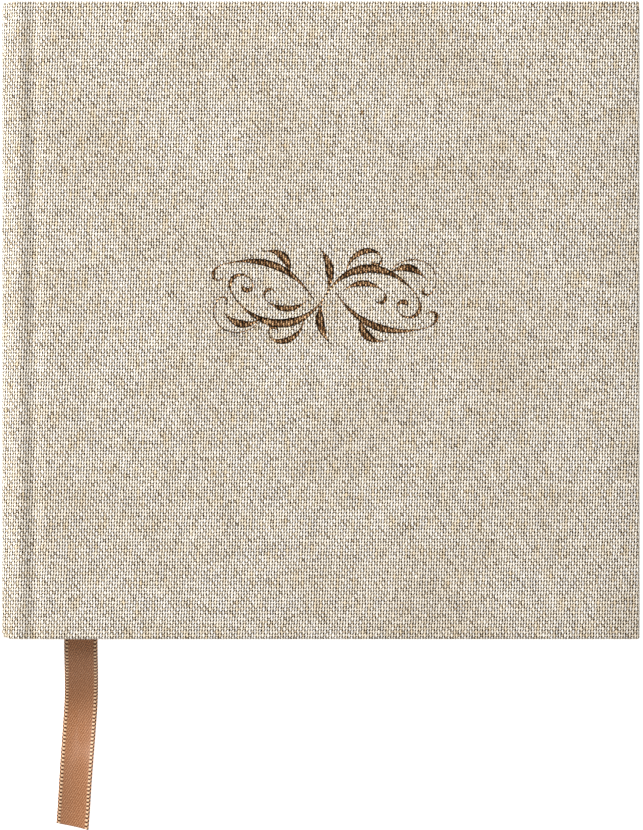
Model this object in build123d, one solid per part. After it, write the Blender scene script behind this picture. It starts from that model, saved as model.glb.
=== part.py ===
from build123d import *
import os

# Square hardback guest book in linen book cloth, lying on its back cover.
# X runs from the spine to the fore edge, Y from the tail to the head, Z is up.
# The origin is the middle of the back cover's outer face. Sizes are millimetres.

# The case
case_width = 190.0  # outer face of the spine to the covers' fore edges
case_height = 190.0  # tail to head
board_thickness = 3.0
spine_board_thickness = 2.0
cloth_thickness = 0.4
turn_in_width = 15.0  # cloth folded over on to the inside of the boards
joint_width = 10.5  # outer face of the spine to the boards' spine-side edges
groove_step = 0.3  # groove cloth's outer face, outside the board's inner face
groove_reach = 3.5  # groove cloth, measured from the board's spine-side edge
board_corner_radius = 1.5
hinge_in_groove = 1.2  # front hinge line, from the groove cloth's spine-side edge
hinge_above_cover = 0.15

# The leaves
signature_count = 12
leaves_per_signature = 8
leaf_thickness = 0.15
square_width = 3.0  # boards stand out past the leaves at head, tail and fore edge
leaf_gap = 0.1  # air between the block, the flyleaves and the covers
fold_round_share = 0.35  # radius of a section's fold, as a share of its thickness
tip_width = 6.0  # strip that tips the front flyleaf to the first leaf
pastedown_margin = 2.0

# The spine of the block
hollow_depth = 1.0  # air between the lining and the spine board
lining_thickness = 0.25
mull_thickness = 0.2
glue_margin = 0.05  # glue over the thickest of thread, ribbon tab and headband tape
mull_flap_width = 25.0
mull_setback = 25.0  # gauze stops this far inside the case's head and tail
lining_setback = 8.0
thread_diameter = 0.25
thread_stations = 6
head_band_diameter = 1.6
head_band_tape_length = 10.0
head_band_tape_thickness = 0.25

# The ribbon marker
ribbon_width = 10.0
ribbon_thickness = 0.3
ribbon_clearance = 0.1  # above and below the ribbon, between the leaves
ribbon_exit_from_spine = 23.5
ribbon_tab_length = 18.0
ribbon_tab_setback = 12.0
ribbon_lean = 2.4  # degrees, towards the spine
ribbon_hinge_gap = 0.5
ribbon_hang_length = 57.0  # seen from above, from the cover's tail edge to the tip
ribbon_end_slant = 10.0  # degrees
ribbon_end_trim = 4.0  # depth of the slanting cut
ribbon_table_gap = 0.02
ribbon_bow_share = 0.16  # of the hang length: where the ribbon starts to fall
ribbon_bow_drop = 0.6
ribbon_bow_radius = 18.0
ribbon_land_share = 0.58  # of the hang length: where it meets the table
ribbon_land_radius = 40.0

# The stamped motif
foil_thickness = 0.06
foil_line_width = 1.6
scroll_width = 66.0
scroll_height = 26.0
scroll_offset_y = 6.5
wave_share = 0.6  # crest of the long stroke, as a share of half the scroll's height
counter_share = 0.2

# Places that follow from the sizes above
half_height = case_height / 2
spine_x = -case_width / 2
fore_x = case_width / 2
spine_board_x = spine_x + cloth_thickness
spine_inner_x = spine_board_x + spine_board_thickness
lining_x = spine_inner_x + hollow_depth
mull_x = lining_x + lining_thickness
dressing_gap = max(thread_diameter, ribbon_thickness, head_band_tape_thickness) + glue_margin
block_x = mull_x + mull_thickness + dressing_gap
board_x = spine_x + joint_width
block_fore_x = fore_x - square_width
block_half = half_height - square_width
mull_half = half_height - mull_setback
pastedown_half = half_height - pastedown_margin

board_inner_z = cloth_thickness + board_thickness
groove_depth = board_inner_z - groove_step  # outer face of a cover down to the groove cloth
turn_in_z = board_inner_z + cloth_thickness
flyleaf_z = turn_in_z + leaf_thickness + leaf_gap
block_z = flyleaf_z + leaf_thickness + leaf_gap
signature_thickness = leaves_per_signature * leaf_thickness
lower_count = signature_count // 2
ribbon_slot = ribbon_thickness + 2 * ribbon_clearance
slot_z = block_z + lower_count * signature_thickness
ribbon_z = slot_z + ribbon_clearance
block_top_z = slot_z + ribbon_slot + (signature_count - lower_count) * signature_thickness
case_thickness = block_top_z + block_z
ribbon_exit_x = spine_x + ribbon_exit_from_spine


def slab(x0, x1, y0, y1, z0, z1):
    """A rectangular block between two corners."""
    middle = ((x0 + x1) / 2, (y0 + y1) / 2, (z0 + z1) / 2)
    return Pos(*middle) * Box(x1 - x0, y1 - y0, z1 - z0)


def to_front(piece):
    """The front cover's piece, from the back cover's: mirrored through the middle of the block."""
    return mirror(piece, about=Plane.XY.offset(case_thickness / 2))


def board():
    """Cover board, with the press mark that the gauze flap lies in."""
    edge = half_height - cloth_thickness
    panel = slab(board_x, fore_x - cloth_thickness, -edge, edge, cloth_thickness, board_inner_z)
    panel = fillet(panel.edges().filter_by(Axis.Z), board_corner_radius)
    return panel - mull_flap()


def mull_flap():
    """Gauze flap, pressed flush into the inside of the board."""
    return slab(board_x, board_x + mull_flap_width, -mull_half, mull_half,
                board_inner_z - mull_thickness, board_inner_z)


def cover_linen():
    """Book cloth round a board, with its turn-ins and the strip in the groove."""
    edge = half_height - cloth_thickness
    inside_half = half_height - turn_in_width
    cloth = slab(board_x - cloth_thickness, fore_x, -half_height, half_height, 0, turn_in_z)
    corner = board_corner_radius + cloth_thickness
    cloth = fillet(cloth.edges().filter_by(Axis.Z), corner)
    board_room = slab(board_x, fore_x - cloth_thickness, -edge, edge, cloth_thickness, board_inner_z)
    board_room = fillet(board_room.edges().filter_by(Axis.Z), board_corner_radius)
    cloth -= board_room
    cloth -= slab(spine_x, fore_x - turn_in_width, -inside_half, inside_half, board_inner_z, turn_in_z)
    groove_floor_z = groove_depth + cloth_thickness
    cloth -= slab(spine_x, board_x, -half_height, half_height, groove_floor_z, turn_in_z)
    strip = slab(board_x - groove_reach, board_x - cloth_thickness / 2, -half_height + corner,
                 half_height - corner, groove_depth, groove_floor_z)
    return cloth + strip


def pastedown():
    """Endpaper glued inside a cover: on the board in the middle, on the turn-ins round it."""
    top_z = turn_in_z + leaf_thickness
    end_x = fore_x - turn_in_width
    inside_half = half_height - turn_in_width
    sheet = slab(board_x, fore_x - pastedown_margin, -pastedown_half, pastedown_half, turn_in_z, top_z)
    sheet += slab(board_x, end_x, -inside_half, inside_half, board_inner_z, top_z)
    inner = inside_half - leaf_thickness
    sheet -= slab(board_x, end_x - leaf_thickness, -inner, inner, board_inner_z + leaf_thickness, top_z)
    return sheet


def back_flyleaf():
    """Free half of the back endpaper."""
    return slab(block_x + leaf_gap, block_fore_x, -block_half, block_half,
                flyleaf_z, flyleaf_z + leaf_thickness)


def front_flyleaf():
    """Free half of the front endpaper, past the strip that is tipped to the first leaf."""
    low_z = case_thickness - flyleaf_z - leaf_thickness
    return slab(block_x + tip_width, block_fore_x, -block_half, block_half,
                low_z, low_z + leaf_thickness)


def signature(number):
    """One folded section of leaves, round at its fold. Number 1 lies on the back endpaper."""
    low_z = block_z + (number - 1) * signature_thickness
    if number > lower_count:
        low_z += ribbon_slot
    section = slab(block_x, block_fore_x, -block_half, block_half, low_z, low_z + signature_thickness)
    folds = section.edges().filter_by(Axis.Y).group_by(Axis.X)[0]
    return fillet(folds, signature_thickness * fold_round_share)


def spine_board():
    """Stiff strip inside the spine cloth."""
    edge = half_height - cloth_thickness
    return slab(spine_board_x, spine_inner_x, -edge, edge, cloth_thickness, case_thickness - cloth_thickness)


def spine_linen():
    """Book cloth round the spine board, turned in at head and tail."""
    edge = half_height - cloth_thickness
    cloth = slab(spine_x, spine_inner_x, -half_height, half_height, 0, case_thickness)
    turned = slab(spine_x, spine_inner_x + cloth_thickness, -half_height, half_height,
                  block_z, block_top_z)
    inside_half = half_height - turn_in_width
    turned -= slab(spine_inner_x, block_x, -inside_half, inside_half, 0, case_thickness)
    cloth = cloth + turned
    return cloth - slab(spine_board_x, spine_inner_x, -edge, edge, cloth_thickness,
                        case_thickness - cloth_thickness)


def spine_lining():
    """Kraft paper over the gauze."""
    half = block_half - lining_setback
    return slab(lining_x, mull_x, -half, half, block_z, block_top_z)


def spine_mull():
    """Gauze across the folds of the sections."""
    return slab(mull_x, mull_x + mull_thickness, -mull_half, mull_half, block_z, block_top_z)


def sewing_thread():
    """Thread runs that link the sections, one at each sewing station."""
    length = block_top_z - block_z - signature_thickness
    pitch = 2 * mull_half / thread_stations
    runs = []
    for station in range(thread_stations):
        y = -mull_half + pitch * (station + 0.5)
        place = Pos(block_x - dressing_gap / 2, y, (block_z + block_top_z) / 2)
        runs.append(place * Cylinder(thread_diameter / 2, length))
    return Compound(children=runs)


def head_band(end):
    """Beaded band at the head (end 1) or tail (end -1) of the block, on its tape."""
    radius = head_band_diameter / 2
    length = block_top_z - block_z - leaf_thickness
    bead_y = end * (block_half + radius + leaf_gap)
    bead = Pos(block_x, bead_y, (block_z + block_top_z) / 2) * Cylinder(radius, length)
    inner_y = end * (block_half - head_band_tape_length)
    tape_x = block_x - leaf_gap / 2
    tape = slab(tape_x - head_band_tape_thickness, tape_x, min(inner_y, bead_y), max(inner_y, bead_y),
                block_z + leaf_thickness, block_top_z - leaf_thickness)
    return bead + tape


def ribbon_marker():
    """Satin ribbon: its tab on the spine, and the run between the leaves to the tail."""
    head_y = block_half - ribbon_tab_setback
    tail_y = -half_height
    start_x = block_x + ribbon_width / 2
    left = (start_x - ribbon_width / 2, head_y)
    outline = Polyline(
        left,
        (start_x + ribbon_width / 2, head_y),
        (ribbon_exit_x + ribbon_width / 2, tail_y),
        (ribbon_exit_x - ribbon_width / 2, tail_y),
        close=True,
    )
    run = Pos(0, 0, ribbon_z) * extrude(make_face(outline), ribbon_thickness)
    middle_z = ribbon_z + ribbon_thickness / 2
    tab_x = block_x - ribbon_thickness
    tab_y = head_y - ribbon_tab_length
    tab = slab(tab_x, block_x, tab_y, head_y, middle_z - ribbon_width / 2, middle_z + ribbon_width / 2)
    web = slab(block_x, start_x, head_y - ribbon_width, head_y, ribbon_z, ribbon_z + ribbon_thickness)
    return run + tab + web


def ribbon_tail():
    """The end of the ribbon: out of the tail, down to the table and along it."""
    out_z = ribbon_z + ribbon_thickness / 2
    table_z = ribbon_thickness / 2 + ribbon_table_gap
    length = ribbon_hang_length
    route = FilletPolyline(
        (-ribbon_hinge_gap, out_z),
        (-ribbon_bow_share * length, out_z - ribbon_bow_drop),
        (-ribbon_land_share * length, table_z),
        (-length, table_z),
        radius=[ribbon_bow_radius, ribbon_land_radius],
    )
    profile = trace(route, line_width=ribbon_thickness)
    side = Plane(origin=(0, 0, 0), x_dir=(0, 1, 0), z_dir=(1, 0, 0))
    strip = Pos(-ribbon_width / 2, 0, 0) * extrude(side * profile, ribbon_width)
    cutter = Rot(0, 0, ribbon_end_slant) * Box(4 * ribbon_width, ribbon_end_trim, 4 * ribbon_width)
    cutter = Pos(0, -length, 0) * cutter
    strip = (strip - cutter).solids().sort_by(SortBy.VOLUME)[-1]
    return Pos(ribbon_exit_x, -half_height, 0) * Rot(0, 0, -ribbon_lean) * strip


def foil_ornament():
    """Flat foil scroll stamped on the front cover: a long wave with a leaf at each end."""
    half = scroll_width / 2
    rise = scroll_height / 2
    crest = rise * wave_share
    wave = Spline((-half, 0), (-half / 2, crest), (0, 0), (half / 2, -crest), (half, 0))
    strokes = trace(wave, line_width=foil_line_width)
    bend = rise * counter_share
    counter = Spline((-half / 2, -rise), (-half / 4, -bend), (half / 4, bend), (half / 2, rise))
    strokes += trace(counter, line_width=foil_line_width)
    return Pos(0, scroll_offset_y, case_thickness) * extrude(strokes, foil_thickness)


parts = {
    "back_board": board(),
    "back_linen": cover_linen(),
    "back_mull_flap": mull_flap(),
    "back_pastedown": pastedown(),
    "back_flyleaf": back_flyleaf(),
    "spine_board": spine_board(),
    "spine_linen": spine_linen(),
    "spine_lining": spine_lining(),
    "spine_mull": spine_mull(),
    "sewing_thread": sewing_thread(),
    "head_band": head_band(1),
    "tail_band": head_band(-1),
    "ribbon_marker": ribbon_marker(),
    "ribbon_tail": ribbon_tail(),
    "front_flyleaf": front_flyleaf(),
    "front_board": to_front(board()),
    "front_linen": to_front(cover_linen()),
    "front_mull_flap": to_front(mull_flap()),
    "front_pastedown": to_front(pastedown()),
    "foil_ornament": foil_ornament(),
}
for number in range(1, signature_count + 1):
    parts[f"signature_{number:02d}"] = signature(number)

os.makedirs("parts", exist_ok=True)
for node, piece in parts.items():
    export_step(piece, f"parts/{node}.step")

# Hinge lines, for the record of how the book moves
cover_hinge_x = board_x - groove_reach + hinge_in_groove
print("case thickness", round(case_thickness, 3))
print("back hinge at the block's lower shoulder", round(block_x, 3), round(block_z, 3))
print("leaf hinge at the block's upper shoulder", round(block_x, 3), round(block_top_z, 3))
cover_hinge_z = case_thickness + hinge_above_cover
print("front cover hinge in the groove", round(cover_hinge_x, 3), round(cover_hinge_z, 3))
front_flyleaf_z = case_thickness - flyleaf_z - leaf_thickness
print("front flyleaf hinge", round(block_x + tip_width, 3), round(front_flyleaf_z, 3))
print("ribbon hinge", round(ribbon_exit_x, 3), -half_height, round(ribbon_z + ribbon_thickness / 2, 3))
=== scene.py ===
# %% [markdown]
# # A linen guest book
# This lesson dresses a square hardback guest book: natural linen book cloth over boards, a French
# groove beside the spine, a bronze foil ornament, sewn leaves and a satin ribbon marker. The CAD
# frame already holds the sizes and the hinges. Every piece here is built where the frame says.

# %% Load the frame
import math
import random

import bmesh
import bpy
from mathutils import Matrix, Vector


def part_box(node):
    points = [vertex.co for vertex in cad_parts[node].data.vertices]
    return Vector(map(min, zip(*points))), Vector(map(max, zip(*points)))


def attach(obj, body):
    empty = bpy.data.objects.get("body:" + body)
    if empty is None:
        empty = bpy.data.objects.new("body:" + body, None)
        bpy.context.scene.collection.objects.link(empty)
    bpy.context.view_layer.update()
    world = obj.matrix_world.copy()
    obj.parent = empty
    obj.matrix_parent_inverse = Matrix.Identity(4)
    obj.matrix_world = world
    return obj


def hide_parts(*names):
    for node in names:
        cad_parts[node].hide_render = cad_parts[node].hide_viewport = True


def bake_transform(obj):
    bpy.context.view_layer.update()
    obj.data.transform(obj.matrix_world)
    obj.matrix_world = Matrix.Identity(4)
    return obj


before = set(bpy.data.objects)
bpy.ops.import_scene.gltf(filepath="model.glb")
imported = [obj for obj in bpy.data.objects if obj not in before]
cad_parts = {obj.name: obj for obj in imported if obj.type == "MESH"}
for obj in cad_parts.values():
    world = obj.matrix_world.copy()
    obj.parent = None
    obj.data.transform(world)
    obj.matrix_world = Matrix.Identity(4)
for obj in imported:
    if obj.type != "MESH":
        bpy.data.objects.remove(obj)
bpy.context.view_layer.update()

# %% [markdown]
# ## Measures
# A bookbinder measures the block first and cuts the case to fit it. The same order works here: the
# places come from the frame's boxes, and the few sizes that the boxes don't show are named once.

# %% Measures from the frame
MM = 0.001
case_high = Vector(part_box("front_linen")[1])
spine_low, spine_high = (Vector(corner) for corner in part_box("spine_linen"))
block_low = Vector(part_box("signature_01")[0])
block_high = Vector(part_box("signature_12")[1])
half_height = case_high.y
spine_x = spine_low.x
fore_x = case_high.x
top_z = spine_high.z
CLOTH = 0.4 * MM
BOARD = 3.0 * MM
LEAF = 0.15 * MM
TURN_IN = 15 * MM
EDGE_X = round(spine_x, 6)  # the frame keeps single precision, so the edge is set to the micrometre


def at(across):
    """The x of a place so many millimetres from the outer face of the spine."""
    return EDGE_X + across * MM


case_size = (fore_x - spine_x, 2 * half_height, top_z)
print("case", [round(side / MM, 1) for side in case_size], "mm")

# %% [markdown]
# ## The camera
# The book is seen straight from above, through a long lens that hardly narrows what is further away.
# The view is a little wider than the case and runs on past the tail to show the whole ribbon.

# %% Camera
VIEW_WIDTH = 191.4 * MM
VIEW_RATIO = 830 / 643
VIEW_TOP = half_height + 0.3 * MM
VIEW_SIDE = 0.28 * MM  # the view's middle, this far to the fore edge's side
CAMERA_HEIGHT = 2.4
SENSOR = 36
camera_data = bpy.data.cameras.new("camera")
camera_data.sensor_fit = "HORIZONTAL"
camera_data.sensor_width = SENSOR
camera_data.lens = SENSOR * CAMERA_HEIGHT / VIEW_WIDTH
camera_data.clip_end = 20
camera = bpy.data.objects.new("camera", camera_data)
bpy.context.scene.collection.objects.link(camera)
camera.location = (VIEW_SIDE, VIEW_TOP - VIEW_WIDTH * VIEW_RATIO / 2, top_z + CAMERA_HEIGHT)
bpy.context.scene.camera = camera
print("camera at", [round(value, 3) for value in camera.location])

# %% [markdown]
# ## Colour and node helpers
# Screen colours are written as sRGB hex, as a paint chart gives them. Blender's shaders want linear
# light, so one function turns one into the other. A second one adds a node with its settings and
# links, which keeps each material short enough to read.

# %% Helpers for materials
def linear(hex_colour):
    channels = [int(hex_colour[start:start + 2], 16) / 255 for start in (0, 2, 4)]
    return [c / 12.92 if c <= 0.04045 else ((c + 0.055) / 1.055) ** 2.4 for c in channels] + [1.0]


def add(material, kind, *values, out=0, stops=(), named=None, **settings):
    """Add one node and give back one of its outputs.

    The values go to its inputs in order and the named ones by name. Each is a number, a colour or
    another node's output. Stops are the (place, hex) colours of a colour ramp.
    """
    made = material.node_tree.nodes.new("ShaderNode" + kind)
    for key, value in settings.items():
        setattr(made, key, value)
    wanted = dict(enumerate(values))
    wanted.update(named or {})
    for key, value in wanted.items():
        if isinstance(value, bpy.types.NodeSocket):
            material.node_tree.links.new(value, made.inputs[key])
        else:
            made.inputs[key].default_value = value
    for index, (place, colour) in enumerate(stops):
        if index >= len(made.color_ramp.elements):
            made.color_ramp.elements.new(place)
        made.color_ramp.elements[index].position = place
        made.color_ramp.elements[index].color = linear(colour)
    return made.outputs[out]


def new_material(name, roughness, **constants):
    """A principled material. What is the same all over sits on the shader's own sockets."""
    material = bpy.data.materials.new(name)
    material.use_nodes = True
    shader = material.node_tree.nodes["Principled BSDF"]
    shader.inputs["Roughness"].default_value = roughness
    for key, value in constants.items():
        shader.inputs[key.replace("_", " ")].default_value = value
    return material, shader


def connect(material, shader, colour, height, strength, depth):
    """Colour and relief to the shader. Depth is the relief's real height in metres."""
    material.node_tree.links.new(colour, shader.inputs["Base Color"])
    bump = add(material, "Bump", named={"Height": height, "Strength": strength, "Distance": depth})
    material.node_tree.links.new(bump, shader.inputs["Normal"])


# %% [markdown]
# ## Linen book cloth
# Book linen is a plain weave of unbleached flax: each thread passes over one and under the next. The
# eye sees long bright ovals where a warp thread lies on top, duller weft between them, dark pin holes
# between four threads, and slubs, where a thread is thicker, darker or yellower than its neighbours.
# The pattern is worked out in thread counts from the cloth's own UV map, which is in metres, so it
# follows every fold. The threads up the book are 0.80 mm apart, and those across it 0.97 mm. Each
# thread is a round back, and the higher of the two shows. Its relief is painted into the colour as
# painted highlight on the crowns and painted shade down the threads' sides and in the pin holes.

# %% Linen material
WARP_PITCH = 0.803 * MM
WEFT_PITCH = 0.972 * MM
WARP_LEAN = -0.035  # the warp runs two degrees off square
WARP_SNAKE = -0.09


def weave(material, flat):
    """Plain weave from a flat place in metres: its relief (0 in a hole, 1 on a crown) and counts."""
    drift = add(material, "TexNoise", out=1, named={"Vector": flat, "Scale": 420.0, "Detail": 3.0})
    drift = add(material, "VectorMath", drift, (0.5, 0.5, 0.5), operation="SUBTRACT")
    drift = add(material, "VectorMath", drift, (0.00062, 0.00055, 0.0), operation="MULTIPLY")
    place = add(material, "VectorMath", flat, drift, operation="ADD")
    x = add(material, "SeparateXYZ", place, out=0)
    y = add(material, "SeparateXYZ", place, out=1)
    x = add(material, "Math", y, WARP_LEAN, x, operation="MULTIPLY_ADD")
    # the warp snakes a little, pushed aside by every weft thread
    snake = add(material, "Math", y, 2 * math.pi / WEFT_PITCH, operation="MULTIPLY")
    snake = add(material, "Math", snake, operation="SINE")
    x = add(material, "Math", snake, WARP_SNAKE * WARP_PITCH, x, operation="MULTIPLY_ADD")
    u = add(material, "Math", x, WARP_PITCH, operation="DIVIDE")
    v = add(material, "Math", y, WEFT_PITCH, operation="DIVIDE")
    warp = add(material, "Math", u, operation="FLOOR")
    weft = add(material, "Math", v, operation="FLOOR")
    side_u = add(material, "Math", add(material, "Math", u, operation="FRACT"), 0.5, operation="SUBTRACT")
    side_u = add(material, "Math", side_u, operation="ABSOLUTE")
    side_v = add(material, "Math", add(material, "Math", v, operation="FRACT"), 0.5, operation="SUBTRACT")
    side_v = add(material, "Math", side_v, operation="ABSOLUTE")
    # which thread is on top here: 0 for the warp, 1 for the weft
    both = add(material, "Math", warp, weft, operation="ADD")
    under = add(material, "Math", both, 2.0, operation="FLOORED_MODULO")
    over = add(material, "Math", 1.0, under, operation="SUBTRACT")
    warp_far = add(material, "Math", under, side_v, operation="SUBTRACT")
    warp_far = add(material, "Math", warp_far, operation="ABSOLUTE")
    weft_far = add(material, "Math", over, side_u, operation="SUBTRACT")
    weft_far = add(material, "Math", weft_far, operation="ABSOLUTE")
    # each thread thickens and thins along its length, and whole patches lie more open
    open_patch = add(material, "TexNoise", named={"Vector": flat, "Scale": 170.0, "Detail": 2.0})
    backs = []
    for count, along, side, far, reach, lift, base, seed in (
            (warp, v, side_u, warp_far, 0.93, 1.0, 0.31, 3.0),
            (weft, u, side_v, weft_far, 0.85, 0.71, 0.31, 11.0)):
        slow = add(material, "Math", along, 0.31, operation="MULTIPLY")
        apart = add(material, "Math", count, 1.7, operation="MULTIPLY")
        spot = add(material, "CombineXYZ", apart, slow, seed)
        slub = add(material, "TexNoise", named={"Vector": spot, "Scale": 1.0, "Detail": 2.0})
        width = add(material, "Math", slub, 0.30, base, operation="MULTIPLY_ADD")
        width = add(material, "Math", open_patch, -0.10, width, operation="MULTIPLY_ADD")
        drop = add(material, "Math", side, width, operation="DIVIDE")
        drop = add(material, "Math", drop, 2.0, operation="POWER")
        fall = add(material, "Math", far, reach, operation="DIVIDE")
        fall = add(material, "Math", fall, 2.4, operation="POWER")
        total = add(material, "Math", drop, fall, operation="ADD")
        backs.append(add(material, "Math", lift, total, operation="SUBTRACT"))
    height = add(material, "Math", backs[0], backs[1], 0.1, operation="SMOOTH_MAX")
    on_top = add(material, "Math", backs[0], backs[1], operation="GREATER_THAN")
    return height, on_top, warp, weft, u, v


def linen_material():
    material, shader = new_material("woven_linen_book_cloth", 0.9, Specular_IOR_Level=0.15, Sheen_Weight=0.08)
    flat = add(material, "UVMap", uv_map="cloth")
    height, warp_on_top, warp, weft, u, v = weave(material, flat)
    fuzz = add(material, "TexNoise", named={"Vector": flat, "Scale": 3600.0, "Detail": 2.0})
    # the colour follows the relief: painted highlight on the thread crowns, painted shade in the holes
    tone = add(material, "Math", fuzz, 0.5, height, operation="MULTIPLY_ADD")
    # neighbouring floats of one thread differ a little in brightness
    spot = add(material, "CombineXYZ", warp, weft, 5.0)
    float_tone = add(material, "TexNoise", named={"Vector": spot, "Scale": 0.83, "Detail": 1.0})
    tone = add(material, "Math", float_tone, 0.6, tone, operation="MULTIPLY_ADD")
    # the floats line up along one diagonal more than along the other
    diagonal = add(material, "Math", u, v, operation="ADD")
    diagonal = add(material, "Math", diagonal, math.pi, operation="MULTIPLY")
    diagonal = add(material, "Math", diagonal, operation="COSINE")
    tone = add(material, "Math", diagonal, -0.05, tone, operation="MULTIPLY_ADD")
    tone = add(material, "MapRange", tone, 0.68, 1.21)
    # the dark stops are painted shade in the holes, the near-white ones painted highlight on the crowns
    colour = add(material, "ValToRGB", tone, stops=[
        (0.00, "120903"), (0.17, "312213"), (0.32, "75634c"), (0.46, "b0a28d"),
        (0.62, "dcd1c0"), (0.80, "fbf5ea"), (1.00, "fffefb")])
    # warp threads run from cream to cool grey, weft threads are browner
    spot = add(material, "CombineXYZ", warp, add(material, "Math", v, 0.12, operation="MULTIPLY"), 19.0)
    warp_hue = add(material, "TexNoise", named={"Vector": spot, "Scale": 1.0, "Detail": 2.0})
    warp_tint = add(material, "ValToRGB", warp_hue, stops=[
        (0.30, "f3e3c6"), (0.43, "fdf8ee"), (0.56, "ffffff"), (0.70, "e4e3e4")])
    spot = add(material, "CombineXYZ", add(material, "Math", u, 0.1, operation="MULTIPLY"), weft, 23.0)
    weft_hue = add(material, "TexNoise", named={"Vector": spot, "Scale": 1.0, "Detail": 2.0})
    weft_tint = add(material, "ValToRGB", weft_hue, stops=[
        (0.30, "d3c1a8"), (0.46, "eee6d9"), (0.60, "f9f5ef"), (0.72, "cfc9c2")])
    tint = add(material, "Mix", data_type="RGBA", out=2, named={0: warp_on_top, 6: weft_tint, 7: warp_tint})
    colour = add(material, "VectorMath", colour, tint, operation="MULTIPLY")
    fleck = add(material, "TexNoise", named={"Vector": flat, "Scale": 430.0, "Detail": 3.0})
    fleck = add(material, "ValToRGB", fleck, stops=[(0.71, "ffffff"), (0.76, "a88c6c")])
    colour = add(material, "VectorMath", colour, fleck, operation="MULTIPLY")
    patch = add(material, "TexNoise", named={"Vector": flat, "Scale": 30.0, "Detail": 3.0})
    patch = add(material, "ValToRGB", patch, stops=[(0.3, "f2eee8"), (0.7, "ffffff")])
    colour = add(material, "VectorMath", colour, patch, operation="MULTIPLY")
    connect(material, shader, colour, height, 0.45, 0.0002)
    return material


linen = linen_material()
print("linen threads per cm", round(10 * MM / WARP_PITCH, 1), "by", round(10 * MM / WEFT_PITCH, 1))

# %% [markdown]
# ## Paper, board, gauze and thread
# Guest book leaves are uncoated writing paper, warm white with a faint cloudy formation and tiny
# fibres. Binder's board is pressed grey waste paper. Gauze is an open weave of stiffened cotton.

# %% Paper and board materials
def paper_material(name, light, dark, roughness):
    material, shader = new_material(name, roughness, Specular_IOR_Level=0.3)
    place = add(material, "TexCoord", out="Object")
    cloud = add(material, "TexNoise", named={"Vector": place, "Scale": 240.0, "Detail": 4.0})
    fibre = add(material, "TexNoise", named={"Vector": place, "Scale": 2600.0, "Detail": 3.0})
    both = add(material, "Math", cloud, fibre, operation="ADD")
    colour = add(material, "ValToRGB", add(material, "Math", both, 0.5, operation="MULTIPLY"),
                 stops=[(0.32, dark), (0.60, light)])
    connect(material, shader, colour, fibre, 0.3, 0.00003)
    return material


GAUZE_PITCH = 1.2 * MM


def gauze_material():
    """Open cotton scrim, with glue showing darker between its threads."""
    material, shader = new_material("starched_cotton_gauze", 0.85, Specular_IOR_Level=0.25, Sheen_Weight=0.1)
    place = add(material, "TexCoord", out="Object")
    scale = math.tau / 20 / GAUZE_PITCH  # a wave texture repeats every tau / 20 at scale 1
    height = 0.0
    for axis in ("X", "Y", "Z"):
        bands = add(material, "TexWave", bands_direction=axis,
                    named={"Vector": place, "Scale": scale, "Distortion": 0.5})
        bands = add(material, "Math", bands, 3.0, operation="POWER")
        height = add(material, "Math", height, bands, operation="MAXIMUM")
    colour = add(material, "ValToRGB", height, stops=[(0.1, "a08f74"), (0.6, "f0e9d9")])
    connect(material, shader, colour, height, 0.5, 0.0001)
    return material


leaf_paper = paper_material("uncoated_writing_paper", "ddd6c8", "cfc6b4", 0.88)
endpaper = paper_material("laid_endpaper", "d9d0be", "cabfa9", 0.84)
grey_board = paper_material("pressed_grey_board", "a49c8e", "7f776a", 0.92)
kraft = paper_material("kraft_lining_paper", "b98f63", "9c744b", 0.8)
thread = paper_material("waxed_linen_thread", "efe5cf", "cdbd9c", 0.6)
gauze = gauze_material()
print("paper, board, thread and gauze materials", 6)

# %% [markdown]
# ## Satin ribbon
# Double-faced satin floats its warp threads over many picks, so it is smooth and shines in a band
# across its bends, and a fine twill line crosses it. Along each edge runs a tight selvage that looks
# like a row of lighter beads with dark pin holes. The UV map is in metres both ways, and the ribbon's
# middle is at zero.

# %% Satin material
RIBBON_WIDTH = 10 * MM
BEAD_PITCH = 1.15 * MM
TWILL_PITCH = 1.35 * MM  # drawn coarser than satin is, so that the line shows at this size


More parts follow.
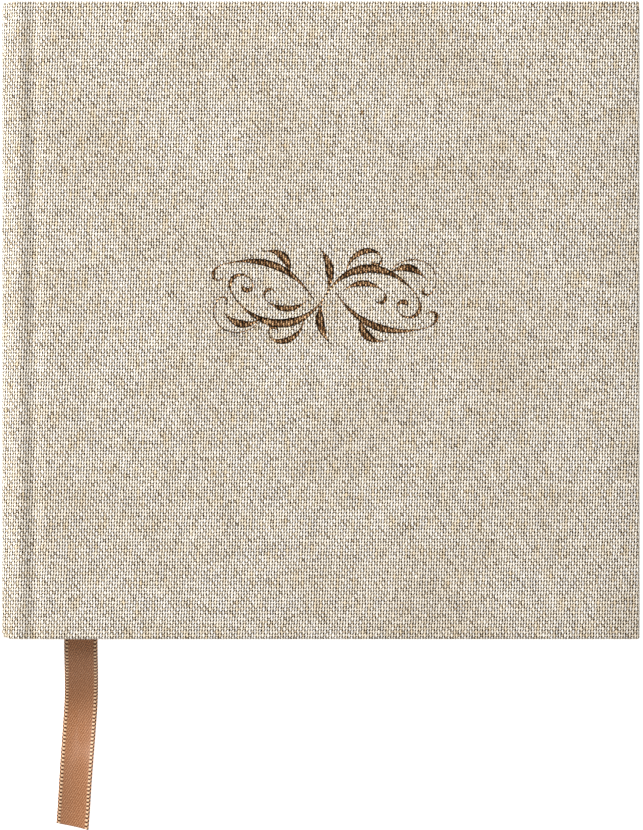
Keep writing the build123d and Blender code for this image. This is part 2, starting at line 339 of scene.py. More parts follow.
def satin_material():
    material, shader = new_material("woven_satin_ribbon", 0.48, Specular_IOR_Level=0.42, Anisotropic=0.5)
    flat = add(material, "UVMap", uv_map="cloth")
    across = add(material, "SeparateXYZ", flat, out=0)
    along = add(material, "SeparateXYZ", flat, out=1)
    side = add(material, "Math", across, operation="ABSOLUTE")
    edge = add(material, "MapRange", side, RIBBON_WIDTH / 2 - 1.3 * MM, RIBBON_WIDTH / 2 - 1.0 * MM)
    rim = add(material, "MapRange", side, RIBBON_WIDTH / 2 - 0.45 * MM, RIBBON_WIDTH / 2 - 0.25 * MM)
    slope = add(material, "Math", across, 1.9, along, operation="MULTIPLY_ADD")
    twill = add(material, "Math", add(material, "Math", slope, math.tau / TWILL_PITCH, operation="MULTIPLY"),
                operation="SINE")
    mottle = add(material, "TexNoise", named={"Vector": flat, "Scale": 4200.0, "Detail": 2.0})
    body = add(material, "Math", twill, 0.09, mottle, operation="MULTIPLY_ADD")
    body_colour = add(material, "ValToRGB", body, stops=[
        (0.22, "4f2507"), (0.50, "9d6640"), (0.78, "d8a781")])
    beat = add(material, "Math", along, math.tau / BEAD_PITCH, operation="MULTIPLY")
    # the outer rim's holes lie half way between the inner row's
    beat = add(material, "Math", rim, math.pi, beat, operation="MULTIPLY_ADD")
    bead = add(material, "Math", beat, operation="SINE")
    bead = add(material, "Math", bead, 0.5, 0.5, operation="MULTIPLY_ADD")
    speck = add(material, "Math", mottle, 0.5, bead, operation="MULTIPLY_ADD")
    bead_colour = add(material, "ValToRGB", speck, stops=[
        (0.36, "351604"), (0.66, "a87146"), (1.0, "efcaa4")])
    rim_shade = add(material, "ValToRGB", rim, stops=[(0.2, "ffffff"), (0.9, "d8b9a0")])
    bead_colour = add(material, "VectorMath", bead_colour, rim_shade, operation="MULTIPLY")
    colour = add(material, "Mix", data_type="RGBA", out=2, named={0: edge, 6: body_colour, 7: bead_colour})
    relief = add(material, "Math", edge, bead, operation="MULTIPLY")
    relief = add(material, "Math", body, 0.35, relief, operation="MULTIPLY_ADD")
    connect(material, shader, colour, relief, 0.5, 0.00014)
    return material


satin = satin_material()

# %% [markdown]
# ## Bronze stamping foil
# Hot foil is a metal film pressed into the cloth. It catches light like dark copper, and the weave
# under it breaks its surface: the threads' crowns shine and the holes between them stay dark brown,
# and both are painted into its colour as painted highlight and painted shade. It borrows the linen's
# weave, read from the flat cover.

# %% Foil material
def foil_material():
    """The UV map runs across each stroke from -1 to 1, so its pressed-in edges get painted shade in the
    colour and its middle lies lower in the relief.
    """
    material, shader = new_material("hot_stamped_bronze_foil", 0.36, Metallic=0.7, Specular_IOR_Level=0.2)
    place = add(material, "TexCoord", out="Object")
    threads = weave(material, place)[0]
    across = add(material, "SeparateXYZ", add(material, "UVMap", uv_map="stroke"), out=0)
    edge = add(material, "Math", across, 2.0, operation="POWER")
    shade = add(material, "TexNoise", named={"Vector": place, "Scale": 420.0, "Detail": 3.0})
    # the weave's relief in the colour: painted highlight on the crowns, painted shade in the holes
    tone = add(material, "Math", shade, 1.1, threads, operation="MULTIPLY_ADD")
    # painted shade along the pressed-in edges of each stroke
    tone = add(material, "Math", edge, -0.55, tone, operation="MULTIPLY_ADD")
    tone = add(material, "MapRange", tone, 0.4, 1.35)
    colour = add(material, "ValToRGB", tone, stops=[
        (0.0, "0a0500"), (0.42, "26180a"), (0.64, "614425"), (0.84, "b57d4f"), (1.0, "dfbd92")])
    relief = add(material, "Math", edge, 0.9, threads, operation="MULTIPLY_ADD")
    connect(material, shader, colour, relief, 0.7, 0.00014)
    return material


foil = foil_material()

# %% [markdown]
# ## Folding cloth over a board
# The binder cuts the cloth flat, glues it, lays the boards on it and folds the edges in. The mesh is
# made the same way: a flat grid from an operator, whose points are then carried along a profile (what
# the cloth does from spine to fore edge) and round a hem (what it does at head and tail). The flat
# place of each point is kept as its UV, so the weave runs unbroken over every fold.

# %% The folding helper
HEM_RADIUS = 0.7 * MM
ARC_STEPS = 4


def hem_stations(half, drop, radius, turn):
    """Points from the cloth's middle line out to one end: (y, depth, flat distance)."""
    stations = []
    arc = radius * math.pi / 2
    straight = max(drop - 2 * radius, 0.0)
    flat_end = half - radius
    for step in range(ARC_STEPS + 1):
        angle = math.pi / 2 * step / ARC_STEPS
        stations.append((flat_end + radius * math.sin(angle), radius * (1 - math.cos(angle)),
                         flat_end + arc * step / ARC_STEPS))
    low = radius + straight
    for step in range(1, ARC_STEPS + 1):
        angle = math.pi / 2 * step / ARC_STEPS
        stations.append((half - radius * (1 - math.cos(angle)), low + radius * math.sin(angle),
                         flat_end + arc + straight + arc * step / ARC_STEPS))
    last_flat = flat_end + 2 * arc + straight
    stations.append((half - radius - turn / 2, low + radius, last_flat + turn / 2))
    stations.append((half - radius - turn, low + radius, last_flat + turn))
    return stations


def smooth_step(value, start, end):
    t = min(max((value - start) / (end - start), 0.0), 1.0)
    return t * t * (3 - 2 * t)


def fold_cloth(profile, hem_of, middle_rows=24):
    """A strip of cloth along a profile of (x, z) points, hemmed at head and tail.

    hem_of(x, z) gives (half height, drop, radius, turn-in) there. The inward side is on the
    profile's right hand as it runs.
    """
    points = [Vector(p) for p in profile]
    normals = []
    lengths = [0.0]
    for index, point in enumerate(points):
        before = points[max(index - 1, 0)]
        after = points[min(index + 1, len(points) - 1)]
        run = (after - before).normalized()
        normals.append(Vector((run.y, -run.x)))
        if index:
            lengths.append(lengths[-1] + (point - points[index - 1]).length)
    sample = hem_stations(*hem_of(*points[0]))
    columns = len(points)
    rows = 2 * len(sample) + middle_rows
    mesh = bmesh.new()
    bmesh.ops.create_grid(mesh, x_segments=columns - 1, y_segments=rows - 1, size=0.5)
    flat_places = {}
    for vertex in mesh.verts:
        column = round((vertex.co.x + 0.5) * (columns - 1))
        row = round((vertex.co.y + 0.5) * (rows - 1))
        half, drop, radius, turn = hem_of(*points[column])
        stations = hem_stations(half, drop, radius, turn)
        count = len(stations)
        if row < count:
            y, depth, flat = stations[count - 1 - row]
            y, flat = -y, -flat
        elif row >= rows - count:
            y, depth, flat = stations[row - (rows - count)]
        else:
            share = (row - count + 1) / (middle_rows + 1)
            y = (2 * share - 1) * (half - radius)
            depth, flat = 0.0, y
        place = points[column] + normals[column] * depth
        vertex.co = (place.x, y, place.y)
        flat_places[vertex.index] = (lengths[column], flat)
    uv = mesh.loops.layers.uv.new("cloth")
    for face in mesh.faces:
        face.smooth = True
        for corner in face.loops:
            corner[uv].uv = flat_places[corner.vert.index]
    bmesh.ops.recalc_face_normals(mesh, faces=mesh.faces)
    return mesh, lengths[-1]


def finish_cloth(name, mesh, material, thickness, offset, rim):
    data = bpy.data.meshes.new(name)
    mesh.to_mesh(data)
    mesh.free()
    piece = bpy.data.objects.new(name, data)
    bpy.context.scene.collection.objects.link(piece)
    data.materials.append(material)
    wall = piece.modifiers.new("thickness", "SOLIDIFY")
    wall.thickness = thickness
    wall.offset = offset
    wall.use_even_offset = False
    wall.use_rim = rim
    return piece


# %% [markdown]
# ## The cover profile
# Seen from the tail, the cloth comes up the outside of the spine, turns over the spine board, dips
# into the French groove, climbs the board's edge and runs flat to the fore edge. The groove is what
# lets a hard cover swing. It is drawn once for the front, and mirrored for the back.

# %% Profiles
FLAT_X = at(15)  # past here the cover is flat
SHOULDER_ROUND = 1.9 * MM


def arc(centre, radius, start, end, steps):
    angles = [math.radians(start + (end - start) * step / steps) for step in range(steps + 1)]
    return [(centre[0] + radius * math.cos(angle), centre[1] + radius * math.sin(angle)) for angle in angles]


def smooth_curve(stops, steps):
    """A Catmull-Rom curve through every stop, with this many steps between two of them."""
    made = []
    for index in range(len(stops) - 1):
        p0, p1 = stops[max(index - 1, 0)], stops[index]
        p2, p3 = stops[index + 1], stops[min(index + 2, len(stops) - 1)]
        for step in range(steps):
            t = step / steps
            made.append(tuple(
                0.5 * (2 * b + (c - a) * t + (2 * a - 5 * b + 4 * c - d) * t ** 2
                       + (3 * b - a - 3 * c + d) * t ** 3)
                for a, b, c, d in zip(p0, p1, p2, p3)))
    return made + [tuple(stops[-1])]


# how far the cloth lies below the cover's face, at so many millimetres from the spine's face
GROOVE = [(1.6, 1.5), (2.4, 1.1), (3.4, 0.62), (4.5, 0.18), (5.4, 0.0), (6.1, 0.03), (6.7, 0.13), (7.3, 0.3),
          (8.1, 0.58), (8.9, 0.83), (9.6, 0.95), (10.2, 0.87), (10.9, 0.62), (11.6, 0.34), (12.3, 0.14),
          (13.0, 0.03), (13.8, 0.0), (15.0, 0.0)]
groove_points = [(spine_x + across * MM, top_z - down * MM) for across, down in GROOVE]
seam_at = [across for across, down in GROOVE].index(7.3)
start_z = top_z - GROOVE[0][1] * MM
outer_spine = [(spine_x, top_z / 2 + (start_z - SHOULDER_ROUND - top_z / 2) * step / 5) for step in range(5)]
outer_spine += arc((spine_x + SHOULDER_ROUND, start_z - SHOULDER_ROUND), SHOULDER_ROUND, 180, 116, 8)
whole_groove = smooth_curve(groove_points, 3)
spine_profile = outer_spine + whole_groove[:seam_at * 3 + 1]
joint_profile = whole_groove[seam_at * 3:]


def hem_of_front(x, z):
    """Half height, drop, radius and turn-in of the cloth's end at this place on the front profile."""
    over_board = smooth_step(x, at(9), at(12))
    over_spine = 1 - smooth_step(x, spine_x + 2.4 * MM, spine_x + 4.8 * MM)
    drop = 1.0 * MM + over_board * 2.8 * MM + over_spine * 1.5 * MM
    radius = 0.38 * MM + (HEM_RADIUS - 0.38 * MM) * max(over_board, over_spine)
    near_corner = 1 - smooth_step(x, spine_x, spine_x + 2.2 * MM)
    half = half_height - 1.3 * MM * near_corner
    return half, drop, radius, TURN_IN * 0.9


def mirror_z(mesh):
    """The back cover's cloth is the front's, mirrored through the middle of the book."""
    turn = Matrix.Translation((0, 0, top_z)) @ Matrix.Scale(-1, 4, (0, 0, 1))
    bmesh.ops.transform(mesh, matrix=turn, verts=mesh.verts)
    bmesh.ops.reverse_faces(mesh, faces=mesh.faces)
    return mesh


print("profile points", len(spine_profile), len(joint_profile))

# %% [markdown]
# ## The flat of each cover
# Over the board the cloth is a shallow box without a bottom: flat on top, with soft edges on three
# sides and a turn-in all round inside. A cube from an operator gives it: scaled to the board,
# bevelled, opened underneath inside the turn-ins, and cut off square where the groove strip takes over.

# %% Cover panels
def cover_panel():
    """The cloth over one board, from where the groove ends to the fore edge."""
    mesh = bmesh.new()
    bmesh.ops.create_cube(mesh, size=1.0)
    depth = BOARD + 2 * CLOTH
    length = fore_x - FLAT_X + 20 * MM
    bmesh.ops.scale(mesh, vec=(length, 2 * half_height, depth), verts=mesh.verts)
    bmesh.ops.translate(mesh, vec=(fore_x - length / 2, 0, top_z - depth / 2), verts=mesh.verts)
    bmesh.ops.bevel(mesh, geom=mesh.edges[:], affect="EDGES", offset=HEM_RADIUS, segments=ARC_STEPS,
                    profile=0.5, material=-1, offset_type="OFFSET")
    everything = mesh.verts[:] + mesh.edges[:] + mesh.faces[:]
    bmesh.ops.bisect_plane(mesh, geom=everything, plane_co=(FLAT_X, 0, 0), plane_no=(1, 0, 0),
                           clear_inner=True)
    for side in (-1, 1):
        everything = mesh.verts[:] + mesh.edges[:] + mesh.faces[:]
        bmesh.ops.bisect_plane(mesh, geom=everything, plane_co=(0, side * (half_height - TURN_IN), 0),
                               plane_no=(0, 1, 0))
    everything = mesh.verts[:] + mesh.edges[:] + mesh.faces[:]
    bmesh.ops.bisect_plane(mesh, geom=everything, plane_co=(fore_x - TURN_IN, 0, 0), plane_no=(1, 0, 0))
    under = []
    for face in mesh.faces:
        middle = face.calc_center_median()
        if face.normal.z < -0.99 and middle.x < fore_x - TURN_IN and abs(middle.y) < half_height - TURN_IN:
            under.append(face)
    bmesh.ops.delete(mesh, geom=under, context="FACES")
    cuts = [edge for edge in mesh.edges if edge.calc_length() > 60 * MM]
    bmesh.ops.subdivide_edges(mesh, edges=cuts, cuts=7, use_grid_fill=True)
    uv = mesh.loops.layers.uv.new("cloth")
    start = joint_length + spine_length
    for face in mesh.faces:
        face.smooth = True
        for corner in face.loops:
            corner[uv].uv = unwrap(corner.vert.co, face.normal, start)
    return mesh


def unwrap(place, normal, start):
    """The flat place of a point on the cover's soft box, measured over its edges."""
    depth = top_z - place.z
    x, y = place.x - FLAT_X + start, place.y
    if abs(normal.z) < 0.98:
        if abs(normal.y) > abs(normal.x):
            y += math.copysign(depth, y)
        else:
            x += depth
    elif normal.z < 0:
        past = BOARD + 2 * CLOTH
        if abs(y) > half_height - TURN_IN - 1e-6:
            y = math.copysign(2 * half_height - abs(y) + past, y)
        else:
            x = 2 * (fore_x - FLAT_X + start) - x + past
    return x, y


spine_mesh, spine_length = fold_cloth(spine_profile, hem_of_front)
joint_mesh, joint_length = fold_cloth(joint_profile, hem_of_front)
for face in joint_mesh.faces:
    for corner in face.loops:
        corner[joint_mesh.loops.layers.uv["cloth"]].uv.x += spine_length
print("spine strip", round(spine_length / MM, 1), "mm, groove strip", round(joint_length / MM, 1), "mm")

# %% [markdown]
# ## Sewing the cloth to the hinges
# On the real book the cloth is one sheet, and it bends where the joints are. Here each piece crosses
# one hinge at most and is attached to one cover or left in place with the rest of the book, and
# strips meet on flat ground where nothing bends, so no seam shows.

# %% Cloth pieces
def outward(mesh, inside_point):
    """Faces point away from the middle of the board or spine."""
    bmesh.ops.recalc_face_normals(mesh, faces=mesh.faces)
    score = 0.0
    for face in mesh.faces:
        score += face.normal.dot(face.calc_center_median() - inside_point) * face.calc_area()
    if score < 0:
        bmesh.ops.reverse_faces(mesh, faces=mesh.faces)
    return mesh


cloth_pieces = {}
for side in ("front", "back"):
    spine_part = spine_mesh.copy()
    joint_part = joint_mesh.copy()
    panel_part = cover_panel()
    if side == "back":
        for part in (spine_part, joint_part, panel_part):
            mirror_z(part)
            layer = part.loops.layers.uv["cloth"]
            for face in part.faces:
                for corner in face.loops:
                    corner[layer].uv.x *= -1
    for label, part in (("spine", spine_part), ("joint", joint_part), ("panel", panel_part)):
        in_board = top_z - CLOTH - BOARD / 2 if side == "front" else CLOTH + BOARD / 2
        inside = {"spine": Vector((at(6), 0, top_z / 2)),
                  "joint": Vector((at(15), 0, top_z / 2)),
                  "panel": Vector((5 * MM, 0, in_board))}[label]
        outward(part, inside)
        name = f"{side}_{label}_cloth"
        cloth_pieces[name] = finish_cloth(name, part, linen, CLOTH, -1.0, False)
spine_mesh.free()
joint_mesh.free()

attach(cloth_pieces["front_panel_cloth"], "front_cover")
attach(cloth_pieces["back_panel_cloth"], "back_cover")
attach(cloth_pieces["back_joint_cloth"], "back_cover")
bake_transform(cloth_pieces["front_joint_cloth"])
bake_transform(cloth_pieces["front_spine_cloth"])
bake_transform(cloth_pieces["back_spine_cloth"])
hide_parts("front_linen")
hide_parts("back_linen")
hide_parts("spine_linen")

print("cloth pieces", len(cloth_pieces))

# %% [markdown]
# ## Boards with pressed edges
# The joint iron presses the hot cloth into the groove and crushes the boards' corners there, which is
# why the cloth runs down so softly. The boards are cubes with only their long edge at the groove
# eased, and the spine strip has the two long edges of its outer face eased.

# %% Boards
def board_piece(name, low, high, crushed, crush):
    """A box with eased edges. crushed(x, z) picks the long edges that are pressed round."""
    mesh = bmesh.new()
    bmesh.ops.create_cube(mesh, size=1.0)
    bmesh.ops.scale(mesh, vec=high - low, verts=mesh.verts)
    bmesh.ops.translate(mesh, vec=(low + high) / 2, verts=mesh.verts)
    long_edges = []
    for edge in mesh.edges:
        middle = (edge.verts[0].co + edge.verts[1].co) / 2
        if abs(middle.y) < 1 * MM and crushed(middle.x, middle.z):
            long_edges.append(edge)
    bmesh.ops.bevel(mesh, geom=long_edges, affect="EDGES", offset=crush, segments=6, profile=0.5,
                    material=-1)
    return join_into(name, [mesh], grey_board)


def join_into(name, meshes, material):
    """One piece from several meshes."""
    data = bpy.data.meshes.new(name)
    whole = bmesh.new()
    for mesh in meshes:
        scratch = bpy.data.meshes.new("scratch")
        mesh.to_mesh(scratch)
        mesh.free()
        whole.from_mesh(scratch)
        bpy.data.meshes.remove(scratch)
    bmesh.ops.recalc_face_normals(whole, faces=whole.faces)
    whole.to_mesh(data)
    whole.free()
    data.materials.append(material)
    piece = bpy.data.objects.new(name, data)
    bpy.context.scene.collection.objects.link(piece)
    return piece


for side, outer_is_high in (("front", True), ("back", False)):
    low, high = (Vector(corner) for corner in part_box(f"{side}_board"))
    outer_z = high.z if outer_is_high else low.z

    def at_groove(x, z, groove_x=low.x, outer_z=outer_z):
        return abs(x - groove_x) < 0.1 * MM and abs(z - outer_z) < 0.1 * MM

    board = board_piece(f"{side}_pressed_board", low, high, at_groove, 2.6 * MM)
    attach(board, f"{side}_cover")
    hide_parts(f"{side}_board")

low, high = (Vector(corner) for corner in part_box("spine_board"))
low.z, high.z = low.z + 1.5 * MM, high.z - 1.5 * MM
spine_strip = board_piece("spine_strip_board", low, high, lambda x, z: x < low.x + 0.1 * MM, 1.7 * MM)
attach(spine_strip, "lower_leaves")
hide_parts("spine_board")
print("boards", 3)

# %% [markdown]
# ## The sewn leaves
# Each section is four sheets folded together and sewn through the fold. Folded paper nests, so the
# inner sheets stand a little further out at the fore edge until the block is trimmed. Each sheet is
# a thin U of paper: a path from one fore edge, round the fold, to the other, extruded from tail to
# head. Each path has its points close together just inside the fold, where real leaves bend when they turn.

# %% Sections of leaves
random.seed(11)
SHEETS = 4
PAPER = 0.12 * MM
BEND_LENGTH = 9 * MM


def sheet_profile(low_z, high_z, order, fore_edge):
    """(x, z) path of one folded sheet. Order 0 is the outermost."""
    gap = (high_z - low_z) / (2 * SHEETS)
    bottom = low_z + gap * (order + 0.5)
    top = high_z - gap * (order + 0.5)
    radius = (top - bottom) / 2
    centre = (block_low.x + (high_z - low_z) / 2, (top + bottom) / 2)
    steps = [0.0, 0.5, 0.8, 0.93]
    run = fore_edge - centre[0]
    leg = [fore_edge - run * step for step in steps]
    leg += [centre[0] + BEND_LENGTH * share for share in (0.85, 0.7, 0.55, 0.4, 0.25, 0.12)]
    path = [(x, top) for x in leg]
    path += arc(centre, radius, 90, 270, 6)
    path += [(x, bottom) for x in reversed(leg)]
    return path


def leaf_sheet(profile, half):
    """Paper along an (x, z) path, from tail to head."""
    mesh = bmesh.new()
    columns = len(profile)
    bmesh.ops.create_grid(mesh, x_segments=columns - 1, y_segments=2, size=0.5)
    for vertex in mesh.verts:
        column = round((vertex.co.x + 0.5) * (columns - 1))
        x, z = profile[column]
        vertex.co = (x, vertex.co.y * 2 * half, z)
    for face in mesh.faces:
        face.smooth = True
    bmesh.ops.solidify(mesh, geom=mesh.faces[:], thickness=PAPER)
    return mesh


for number in range(1, 13):
    node = f"signature_{number:02d}"
    low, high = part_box(node)
    sheets = []
    for order in range(SHEETS):
        fore_edge = high[0] - random.uniform(0.0, 0.12) * MM
        half = high[1] - random.uniform(0.0, 0.10) * MM
        sheets.append(leaf_sheet(sheet_profile(low[2], high[2], order, fore_edge), half))
    piece = join_into(f"leaves_{number:02d}", sheets, leaf_paper)
    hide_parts(node)
    if number > 6:
        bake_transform(piece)
    else:
        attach(piece, "lower_leaves")
print("leaves", 12 * SHEETS * 2)

# %% [markdown]
# ## Endpapers
# An endpaper is one folded sheet: half is glued down inside the cover, over the turn-ins, and half
# is the free flyleaf. Its fold sits at the block's shoulder, so the glued half crosses the groove
# and hides the cloth when the cover is open.

# %% Pastedowns and flyleaves
BOARD_INNER_Z = top_z - CLOTH - BOARD
SHOULDER = Vector((block_low.x, 0, block_high.z))
FLY_START = SHOULDER.x + 0.2 * MM
STEP_WIDTH = 1.2 * MM  # how softly the paper steps from the board on to the turn-ins
PASTE_MARGIN = 2 * MM


def pastedown_mesh():
    """The glued half: a flat sheet that steps from the board down on to the turn-ins."""
    mesh = bmesh.new()
    inside = fore_x - TURN_IN
    x_stops = [FLY_START] + [at(5 + 0.8 * step) for step in range(9)]
    x_stops += [at(35), 0.0, inside - STEP_WIDTH, inside - STEP_WIDTH / 2, inside, inside + 0.4 * MM,
                fore_x - PASTE_MARGIN]
    inner_y = half_height - TURN_IN
    y_stops = [-half_height + PASTE_MARGIN, -inner_y - 0.4 * MM, -inner_y, -inner_y + STEP_WIDTH / 2,
               -inner_y + STEP_WIDTH]
    y_stops += [0.0] + [-value for value in reversed(y_stops)]
    columns, rows = len(x_stops), len(y_stops)
    bmesh.ops.create_grid(mesh, x_segments=columns - 1, y_segments=rows - 1, size=0.5)
    for vertex in mesh.verts:
        x = x_stops[round((vertex.co.x + 0.5) * (columns - 1))]
        y = y_stops[round((vertex.co.y + 0.5) * (rows - 1))]
        on_turn_in = max(smooth_step(x, inside - STEP_WIDTH, inside),
                         smooth_step(abs(y), inner_y - STEP_WIDTH, inner_y))
        z = BOARD_INNER_Z - 0.02 * MM - CLOTH * on_turn_in
        if x < at(11):
            z = min(z, BOARD_INNER_Z - 0.4 * MM)
            z += (SHOULDER.z + 0.32 * MM - z) * smooth_step(-x, -at(11), -at(4.4))
        vertex.co = (x, y, z)
    for face in mesh.faces:
        face.smooth = True
    bmesh.ops.recalc_face_normals(mesh, faces=mesh.faces)
    if mesh.faces[0].normal.z > 0:
        bmesh.ops.reverse_faces(mesh, faces=mesh.faces)
    bmesh.ops.solidify(mesh, geom=mesh.faces[:], thickness=PAPER)
    return mesh


front_pastedown = join_into("front_pastedown_paper", [pastedown_mesh()], endpaper)
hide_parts("front_pastedown")
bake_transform(front_pastedown)
back_pastedown = join_into("back_pastedown_paper", [mirror_z(pastedown_mesh())], endpaper)
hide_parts("back_pastedown")
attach(back_pastedown, "back_cover")


def flyleaf(name, node):
    """The free half: flat, with its points close together where it bends at the shoulder."""
    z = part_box(node)[0][2] + LEAF / 2
    stops = [0.0, 0.4, 0.8, 1.2, 2, 3, 4, 5, 6, 7.5, 10, 20, 60, 120]
    path = [(FLY_START + stop * MM, z) for stop in stops] + [(block_high.x, z)]
    piece = join_into(name, [leaf_sheet(path, block_high.y)], endpaper)
    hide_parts(node)
    return piece


front_fly = flyleaf("front_flyleaf_paper", "front_flyleaf")
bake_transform(front_fly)
back_fly = flyleaf("back_flyleaf_paper", "back_flyleaf")
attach(back_fly, "back_endleaf")
print("endpapers", 4)

# %% [markdown]
# ## The ribbon marker
# The ribbon comes out between the leaves at mid-thickness, bows over, drops to the table and lies
# flat to its slanted end. Limp satin cups a little across its width as it lands. It is one grid,
# bent along a smooth path, and its material draws the beads of the two selvages.

# %% Ribbon
RIBBON_THICK = 0.22 * MM
marker_low, marker_high = (Vector(corner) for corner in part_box("ribbon_marker"))
exit_x = at(23.3)
exit_z = (marker_low.z + marker_high.z) / 2
LENGTH_STEPS, WIDTH_STEPS = 120, 14
# (out from the cover's edge, down, aside, cup angle at the edge, roll) in mm and degrees
RIBBON_ROUTE = [(-6, 0, 0, 0, 0), (-1, 0, 0, 1, 0), (4, -0.9, 0, 3, 0), (9, -4.0, 0, 5, -1),
                (15, -8.3, -0.1, 7, -1), (20, -10.6, -0.3, 8, 0), (25, -11.25, -0.65, 9, 1),
                (31, -10.5, -1.05, 10, 2), (37, -9.35, -1.45, 14, 4), (44, -9.6, -1.9, 18, 6),
                (51, -10.6, -2.35, 19, 6), (56.8, -11.3, -2.8, 19, 6)]
route = smooth_curve([tuple(float(value) for value in stop) for stop in RIBBON_ROUTE], 40)


def ribbon_row(share):
    """One row of points across the ribbon, at a share of its route."""
    place = share * (len(route) - 1)
    index = min(int(place), len(route) - 2)
    part = place - index
    out, down, aside, cup, roll = (a + (b - a) * part for a, b in zip(route[index], route[index + 1]))
    middle = Vector((exit_x + aside * MM, -half_height - out * MM, exit_z + down * MM))
    before, after = route[max(index - 3, 0)], route[min(index + 4, len(route) - 1)]
    run = Vector((after[2] - before[2], before[0] - after[0], after[1] - before[1])).normalized()
    across = Matrix.Rotation(math.radians(-roll), 3, "Y") @ Vector((1, 0, 0))
    across = (across - run * across.dot(run)).normalized()
    up = across.cross(run).normalized()
    if up.z < 0:
        up = -up
    row = []
    for step in range(WIDTH_STEPS + 1):
        side = 2 * step / WIDTH_STEPS - 1
        angle = math.radians(max(cup, 0.01)) * side
        radius = RIBBON_WIDTH / 2 / math.radians(max(cup, 0.01))
        slant = -0.6 * MM * side * smooth_step(share, 0.88, 1.0)
        beside = across * radius * math.sin(angle) + up * radius * (1 - math.cos(angle))
        row.append(middle + beside + run * -slant)
    lowest = min(point.z for point in row)
    lift = max(0.14 * MM - lowest, 0.0)
    return [point + Vector((0, 0, lift)) for point in row]


ribbon_rows = [ribbon_row(step / LENGTH_STEPS) for step in range(LENGTH_STEPS + 1)]
distances = [0.0]
for before, after in zip(ribbon_rows, ribbon_rows[1:]):
    distances.append(distances[-1] + (after[WIDTH_STEPS // 2] - before[WIDTH_STEPS // 2]).length)

def ribbon_piece(name, rows, along):
    """A strip through the rows of points. Along gives each row's distance down the ribbon."""
    mesh = bmesh.new()
    last = len(rows) - 1
    bmesh.ops.create_grid(mesh, x_segments=WIDTH_STEPS, y_segments=last, size=0.5)
    flat = {}
    for vertex in mesh.verts:
        column = round((vertex.co.x + 0.5) * WIDTH_STEPS)
        row = round((vertex.co.y + 0.5) * last)
        vertex.co = rows[row][column]
        flat[vertex.index] = ((column / WIDTH_STEPS - 0.5) * RIBBON_WIDTH, along[row])
    layer = mesh.loops.layers.uv.new("cloth")
    for face in mesh.faces:
        face.smooth = True
        for corner in face.loops:
            corner[layer].uv = flat[corner.vert.index]
    bmesh.ops.recalc_face_normals(mesh, faces=mesh.faces)
    if sum(face.normal.z for face in mesh.faces) < 0:
        bmesh.ops.reverse_faces(mesh, faces=mesh.faces)
    piece = finish_cloth(name, mesh, satin, RIBBON_THICK, 0.0, True)
    return piece


ribbon = ribbon_piece("satin_ribbon", ribbon_rows, distances)
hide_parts("ribbon_tail")
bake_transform(ribbon)

# the run between the leaves, from the head of the spine down to where the outer end starts
INNER_STEPS = 60
head_middle = Vector((block_low.x + RIBBON_WIDTH / 2, marker_high.y, exit_z))
tail_middle = Vector((exit_x, -half_height + 6 * MM, exit_z))
inner_rows = []
for step in range(INNER_STEPS + 1):
    middle = head_middle.lerp(tail_middle, step / INNER_STEPS)
    sides = [(2 * column / WIDTH_STEPS - 1) * RIBBON_WIDTH / 2 for column in range(WIDTH_STEPS + 1)]
    inner_rows.append([middle + Vector((side, 0, 0)) for side in sides])
inner_length = (tail_middle - head_middle).length
inner_along = [(step / INNER_STEPS - 1) * inner_length for step in range(INNER_STEPS + 1)]
inner_ribbon = ribbon_piece("satin_ribbon_between_leaves", inner_rows, inner_along)
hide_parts("ribbon_marker")
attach(inner_ribbon, "lower_leaves")

# %% [markdown]
# ## The foil ornament
# A pen-drawn scroll, thick on the down strokes and hair-thin on the turns, stands where such books
# carry their stamping. Each stroke is a narrow grid laid along a curve, with a width that swells and
# fades. The left half is the right one turned half way round.

# %% Ornament
SCROLL_CENTRE = Vector((1.3 * MM, 7.2 * MM))
FOIL_THICK = 0.05 * MM
FOIL_Z = top_z + 0.045 * MM


def stroke(path, width, steps=60):
    """A flat stroke: path(t) gives (x, y) in mm and width(t) the full width in mm."""
    mesh = bmesh.new()
    bmesh.ops.create_grid(mesh, x_segments=4, y_segments=steps, size=0.5)
    side = {vertex.index: vertex.co.x * 2 for vertex in mesh.verts}
    layer = mesh.loops.layers.uv.new("stroke")
    for face in mesh.faces:
        for corner in face.loops:
            corner[layer].uv = (side[corner.vert.index], 0.0)
    for vertex in mesh.verts:
        t = vertex.co.y + 0.5
        here = Vector(path(t))
        run = (Vector(path(min(t + 0.002, 1))) - Vector(path(max(t - 0.002, 0)))).normalized()
        normal = Vector((-run.y, run.x))
        place = here + normal * vertex.co.x * width(t)
        vertex.co = (SCROLL_CENTRE.x + place.x * MM, SCROLL_CENTRE.y + place.y * MM, FOIL_Z)
    bmesh.ops.recalc_face_normals(mesh, faces=mesh.faces)
    if mesh.faces[0].normal.z < 0:
        bmesh.ops.reverse_faces(mesh, faces=mesh.faces)
    bmesh.ops.solidify(mesh, geom=mesh.faces[:], thickness=FOIL_THICK)
    return mesh


def swell(thin, thick, peak=0.5):
    """Width along a stroke: thin at both ends and thick at the peak."""
    def width(t):
        rise = t / peak if t < peak else (1 - t) / (1 - peak)
        return thin + (thick - thin) * math.sin(math.pi / 2 * max(rise, 0)) ** 2
    return width


def bezier(p0, p1, p2, p3):
    def path(t):
        s = 1 - t
        return tuple(s ** 3 * a + 3 * s * s * t * b + 3 * s * t * t * c + t ** 3 * d
                     for a, b, c, d in zip(p0, p1, p2, p3))
    return path


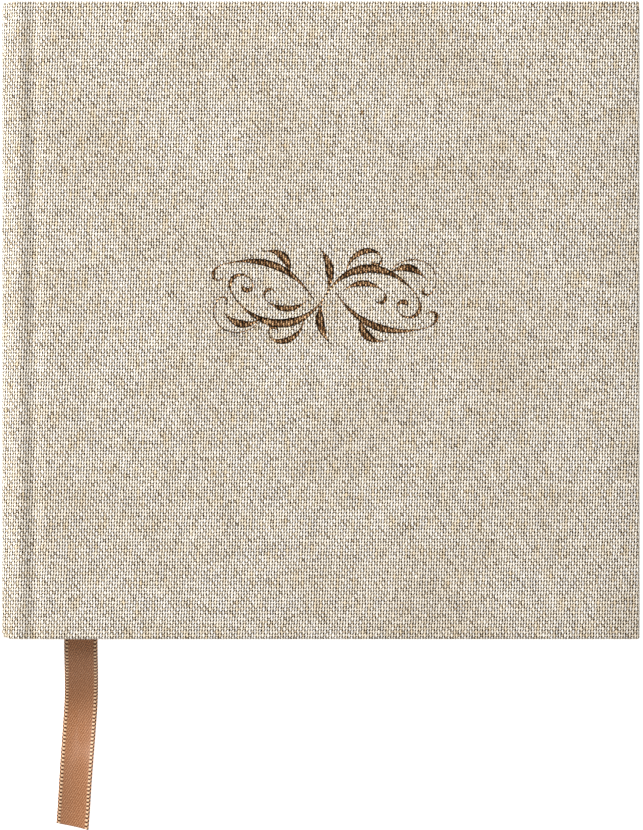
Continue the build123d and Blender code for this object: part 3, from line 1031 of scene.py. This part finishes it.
half_strokes = [
    (bezier((0, 0), (7, 11.5), (20, 10), (27, 0.5)), swell(0.35, 2.6, 0.45)),
    (bezier((27, 0.5), (31, -5.5), (24.5, -8.5), (21.8, -4.6)), swell(0.3, 1.2, 0.4)),
    (bezier((21.8, -4.6), (20.4, -1.6), (24.4, -0.6), (24.6, -3.2)), swell(0.3, 1.6, 0.75)),
    (bezier((3.2, 1.2), (9, -8), (18, -12.5), (30, -9.5)), swell(0.3, 2.2, 0.55)),
    (bezier((30, -9.5), (35.0, -8.2), (33.8, -3.2), (30.4, -5.2)), swell(0.3, 1.0, 0.5)),
    (bezier((6.2, 6.6), (7.0, 13.8), (15.5, 15.4), (16.8, 11.2)), swell(0.3, 1.8, 0.5)),
    (bezier((16.8, 11.2), (17.2, 8.6), (13.4, 8.9), (14.2, 10.9)), swell(0.3, 1.0, 0.5)),
    (bezier((10.8, -5.9), (9.8, -10.5), (13.6, -14.4), (18.6, -13.2)), swell(0.2, 2.6, 0.45)),
    (bezier((18.6, 6.4), (23.5, 10.0), (27.4, 8.4), (30.4, 4.6)), swell(0.2, 2.4, 0.5)),
    (bezier((0.6, 1.4), (2.6, 6.0), (1.2, 11.5), (-1.8, 14.4)), swell(0.2, 2.6, 0.45)),
    (bezier((5.2, 1.2), (8.6, 4.6), (14.0, 4.6), (17.6, 1.2)), swell(0.2, 1.9, 0.5)),
    (bezier((17.6, 1.2), (19.4, -1.6), (15.6, -3.4), (14.8, -0.9)), swell(0.25, 1.0, 0.4)),
    (bezier((18.6, 6.4), (24.0, 14.5), (35.5, 10.5), (32.6, 2.4)), swell(0.26, 0.36, 0.5)),
    (bezier((32.6, 2.4), (31.2, -1.2), (28.0, 0.6), (29.6, 2.6)), swell(0.26, 0.7, 0.6)),
]
foil_meshes = []
for path, width in half_strokes:
    for sign in (1, -1):
        def turned(t, path=path, sign=sign):
            x, y = path(t)
            return sign * x, sign * y
        foil_meshes.append(stroke(turned, width))
ornament = join_into("foil_scroll", foil_meshes, foil)
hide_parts("foil_ornament")
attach(ornament, "front_cover")
print("foil strokes", len(foil_meshes))

# %% [markdown]
# ## Headbands and the hidden pieces
# The CAD shapes of the gauze, lining, thread and headbands are right as they stand, so they only
# need their own materials. The headbands are wound with two colours of thread, which gives stripes.

# %% Materials for the carried-over pieces
STRIPE_PITCH = 1.5 * MM
TURN_PITCH = 0.25 * MM


def head_band_material():
    """Cotton wound over a core, in turns of two colours."""
    material, shader = new_material("wound_cotton_head_band", 0.6, Sheen_Weight=0.2)
    place = add(material, "TexCoord", out="Object")
    up = add(material, "SeparateXYZ", place, out=2)
    stripe = add(material, "Math", up, math.tau / STRIPE_PITCH, operation="MULTIPLY")
    stripe = add(material, "Math", stripe, operation="SINE")
    stripe = add(material, "Math", stripe, 0.5, 0.5, operation="MULTIPLY_ADD")
    colour = add(material, "ValToRGB", stripe, stops=[(0.42, "f3ead8"), (0.58, "a06f49")])
    turns = add(material, "Math", up, math.tau / TURN_PITCH, operation="MULTIPLY")
    turns = add(material, "Math", turns, operation="SINE")
    connect(material, shader, colour, turns, 0.6, 0.00005)
    return material


carried = {"front_mull_flap": gauze, "back_mull_flap": gauze, "spine_mull": gauze,
           "spine_lining": kraft, "sewing_thread": thread}
band = head_band_material()
carried.update({"head_band": band, "tail_band": band})
for node, material in carried.items():
    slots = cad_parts[node].material_slots
    for index in range(len(slots)):
        slots[index].material = material
print("carried-over nodes", len(carried))

# %% [markdown]
# ## Floor and light
# A plain pale table, a white surround, and one large soft light from the spine side: enough to shape
# the groove and the weave, soft enough to leave hardly any shadow.

# %% Floor and lights
floor_mesh = bmesh.new()
bmesh.ops.create_grid(floor_mesh, x_segments=1, y_segments=1, size=3.0)
floor_data = bpy.data.meshes.new("floor")
floor_mesh.to_mesh(floor_data)
floor_mesh.free()
floor = bpy.data.objects.new("floor", floor_data)
bpy.context.scene.collection.objects.link(floor)
floor.location.z = -0.02 * MM
floor_material, floor_shader = new_material("opal_light_table", 0.9, Specular_IOR_Level=0.1)
floor_shader.inputs["Base Color"].default_value = linear("f6f6f5")
floor_shader.inputs["Emission Color"].default_value = linear("ffffff")
floor_shader.inputs["Emission Strength"].default_value = 0.75
floor_data.materials.append(floor_material)

world = bpy.data.worlds.new("surround")
world.use_nodes = True
world.node_tree.nodes["Background"].inputs[0].default_value = (1.0, 0.995, 0.985, 1)
world.node_tree.nodes["Background"].inputs[1].default_value = 0.5
bpy.context.scene.world = world


def area_light(name, place, size, watts):
    data = bpy.data.lights.new(name, "AREA")
    data.size = size
    data.energy = watts
    lamp = bpy.data.objects.new(name, data)
    bpy.context.scene.collection.objects.link(lamp)
    lamp.location = place
    lamp.rotation_euler = (-Vector(place)).to_track_quat("-Z", "Y").to_euler()
    return lamp


area_light("window", (-1.4, 0.95, 1.45), 1.0, 62)
bpy.context.scene.view_settings.view_transform = "Standard"
bpy.context.scene.cycles.use_denoising = False
